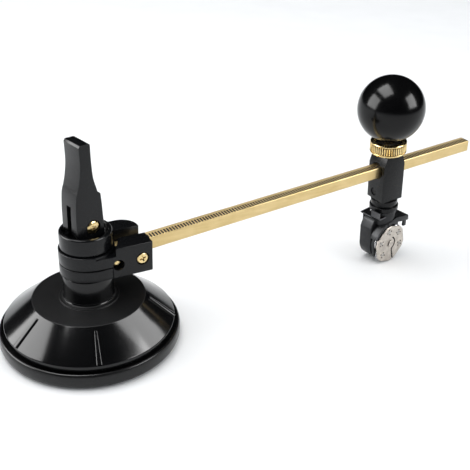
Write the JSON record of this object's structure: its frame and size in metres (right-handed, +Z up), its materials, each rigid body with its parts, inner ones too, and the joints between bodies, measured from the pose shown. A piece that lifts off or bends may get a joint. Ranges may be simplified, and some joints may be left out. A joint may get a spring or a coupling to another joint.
{
  "type": "circle cutter",
  "caption": "Glass circle cutter: round suction base with a fold-down lever, swinging arm, graduated bar and a sliding clamp head with a ball knob and a turret of cutting wheels.",
  "frame": {"origin": "centre of the suction pad's flat underside, on the column axis", "axes": "+Z up along the column; +X outward along the arm and bar to the cutting head; the cheek with the screw heads faces -Y"},
  "size_m": [0.1827, 0.0572, 0.0734],
  "materials": {
    "rubber": "matte moulded rubber",
    "gloss_black": "polished moulded black plastic",
    "satin_black": "fine satin moulded black plastic",
    "brass": "bright drawn and turned brass",
    "steel": "bright zinc-plated steel",
    "cutter_steel": "ground hard steel",
    "dark_metal": "blackened die casting"
  },
  "bodies": {
    "base": {"rubber_pad": "rubber", "base_shell": "gloss_black", "column_tube": "steel", "thrust_washer_lower": "steel", "collar_cup": "satin_black"},
    "arm": {"arm_front_half": "satin_black", "arm_rear_half": "satin_black", "thrust_washer_upper": "steel", "clamp_screw": "brass", "bar_pivot_screw": "brass"},
    "bar": {"scale_bar": "brass"},
    "head": {"head_block": "satin_black", "block_set_screw": "steel", "neck_collar": "satin_black"},
    "nut": {"lock_nut": "brass"},
    "clamp_pad": {"pressure_pad": "steel"},
    "knob": {"ball_knob": "gloss_black", "clamp_stud": "brass"},
    "turret_carrier": {"swivel_stem": "steel", "turret_housing": "dark_metal", "index_spring": "steel", "turret_axle": "steel", "axle_washer": "steel"},
    "turret": {"turret_plate": "steel", "turret_body": "dark_metal", "wheel_axle_1": "steel", "wheel_axle_2": "steel", "wheel_axle_3": "steel", "wheel_axle_4": "steel", "wheel_axle_5": "steel", "wheel_axle_6": "steel"},
    "stem": {"pull_stem": "steel", "return_spring": "steel"},
    "lever": {"lever": "satin_black", "lever_pin": "brass"},
    "wheel_1": {"cutting_wheel_1": "cutter_steel"},
    "wheel_2": {"cutting_wheel_2": "cutter_steel"},
    "wheel_3": {"cutting_wheel_3": "cutter_steel"},
    "wheel_4": {"cutting_wheel_4": "cutter_steel"},
    "wheel_5": {"cutting_wheel_5": "cutter_steel"},
    "wheel_6": {"cutting_wheel_6": "cutter_steel"}
  },
  "joints": [
    {"name": "arm_swing", "type": "hinge", "parent": "base", "child": "arm", "pos_m": [0, 0, 0.029], "axis": [0, 0, 1], "continuous": true},
    {"name": "bar_rock", "type": "hinge", "parent": "arm", "child": "bar", "pos_m": [0.0147, 0, 0.0291], "axis": [0, -1, 0], "range_deg": [-10, 15]},
    {"name": "head_slide", "type": "slide", "parent": "bar", "child": "head", "axis": [0.9956, 0, 0.0933], "range_m": [-0.076, 0.03]},
    {"name": "clamp_travel", "type": "slide", "parent": "head", "child": "clamp_pad", "axis": [-0.0933, 0, 0.9956], "range_m": [0, 0.0021]},
    {"name": "knob_turn", "type": "hinge", "parent": "clamp_pad", "child": "knob", "pos_m": [0.1134, 0, 0.06155], "axis": [-0.0933, 0, 0.9956], "range_deg": [0, 1080]},
    {"name": "lock_nut_turn", "type": "hinge", "parent": "head", "child": "nut", "pos_m": [0.11473, 0, 0.04742], "axis": [-0.0933, 0, 0.9956], "range_deg": [0, 360]},
    {"name": "turret_swivel", "type": "hinge", "parent": "head", "child": "turret_carrier", "pos_m": [0.11705, 0, 0.02262], "axis": [-0.0933, 0, 0.9956], "continuous": true},
    {"name": "turret_index", "type": "hinge", "parent": "turret_carrier", "child": "turret", "pos_m": [0.11891, -0.00296, 0.00783], "axis": [-0.1558, 0.9877, -0.0146], "continuous": true},
    {"name": "wheel_1_spin", "type": "hinge", "parent": "turret", "child": "wheel_1", "pos_m": [0.12051, -0.00329, 0.00261], "axis": [-0.1558, 0.9877, -0.0146], "continuous": true},
    {"name": "wheel_2_spin", "type": "hinge", "parent": "turret", "child": "wheel_2", "pos_m": [0.12422, -0.00265, 0.00655], "axis": [-0.1558, 0.9877, -0.0146], "continuous": true},
    {"name": "wheel_3_spin", "type": "hinge", "parent": "turret", "child": "wheel_3", "pos_m": [0.1227, -0.00281, 0.01178], "axis": [-0.1558, 0.9877, -0.0146], "continuous": true},
    {"name": "wheel_4_spin", "type": "hinge", "parent": "turret", "child": "wheel_4", "pos_m": [0.11746, -0.00362, 0.01307], "axis": [-0.1558, 0.9877, -0.0146], "continuous": true},
    {"name": "wheel_5_spin", "type": "hinge", "parent": "turret", "child": "wheel_5", "pos_m": [0.11375, -0.00426, 0.00913], "axis": [-0.1558, 0.9877, -0.0146], "continuous": true},
    {"name": "wheel_6_spin", "type": "hinge", "parent": "turret", "child": "wheel_6", "pos_m": [0.11528, -0.0041, 0.0039], "axis": [-0.1558, 0.9877, -0.0146], "continuous": true},
    {"name": "stem_lift", "type": "slide", "parent": "base", "child": "stem", "axis": [0, 0, 1], "range_m": [0, 0.0041], "deforming": ["return_spring"]},
    {"name": "lever_fold", "type": "hinge", "parent": "stem", "child": "lever", "pos_m": [0.00049, 0.00012, 0.0402], "axis": [0.2419, -0.9703, 0], "range_deg": [0, 90]}
  ],
  "couplings": [
    {"joint": "knob_turn", "follows": "clamp_travel", "rad_per_m": 8976},
    {"joint": "lever_fold", "follows": "stem_lift", "rad_per_m": 383.12}
  ]
}
